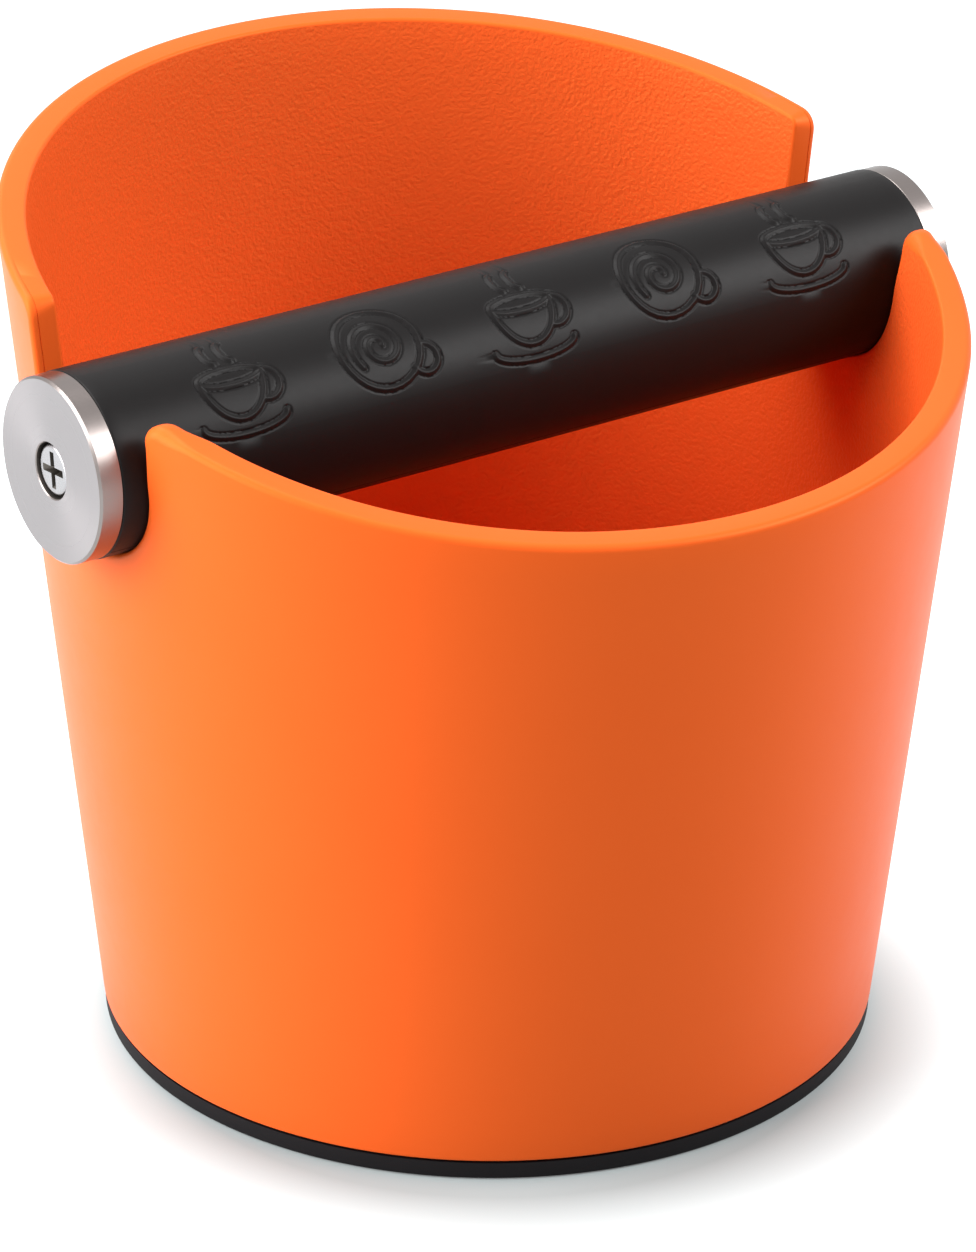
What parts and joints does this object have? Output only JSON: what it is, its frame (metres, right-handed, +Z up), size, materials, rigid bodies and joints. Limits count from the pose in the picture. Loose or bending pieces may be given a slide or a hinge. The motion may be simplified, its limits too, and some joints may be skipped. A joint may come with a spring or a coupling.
{
  "type": "espresso knock box",
  "caption": "Counter-top espresso knock box: tapered round bin with a slanted rim, a rubber base, and a rubber-sleeved steel knock bar that lies in two notches and lifts out.",
  "frame": {"origin": "centre of the rubber base's flat underside, on the surface that the box stands on", "axes": "+Z up; +X along the knock bar; -Y towards the low front lip, +Y towards the tall back wall"},
  "size_m": [0.1274, 0.1201, 0.1143],
  "materials": {
    "bin_plastic": "satin moulded plastic, smooth outside and finely grained inside",
    "base_rubber": "matt black rubber",
    "sleeve_rubber": "satin black rubber with raised outline ornament",
    "core_steel": "plain turned steel",
    "cap_steel": "fine turned face, bright chamfer and polished edge",
    "screw_steel": "bright stainless steel"
  },
  "bodies": {
    "bin": {"bin_body": "bin_plastic", "non_slip_base": "base_rubber"},
    "knock_bar": {"bar_core": "core_steel", "bar_sleeve": "sleeve_rubber", "left_end_cap": "cap_steel", "right_end_cap": "cap_steel", "left_cap_screw": "screw_steel", "right_cap_screw": "screw_steel"}
  },
  "joints": [
    {"name": "bar_lift", "type": "slide", "parent": "bin", "child": "knock_bar", "axis": [0, 0, 1], "range_m": [0, 0.035]}
  ]
}
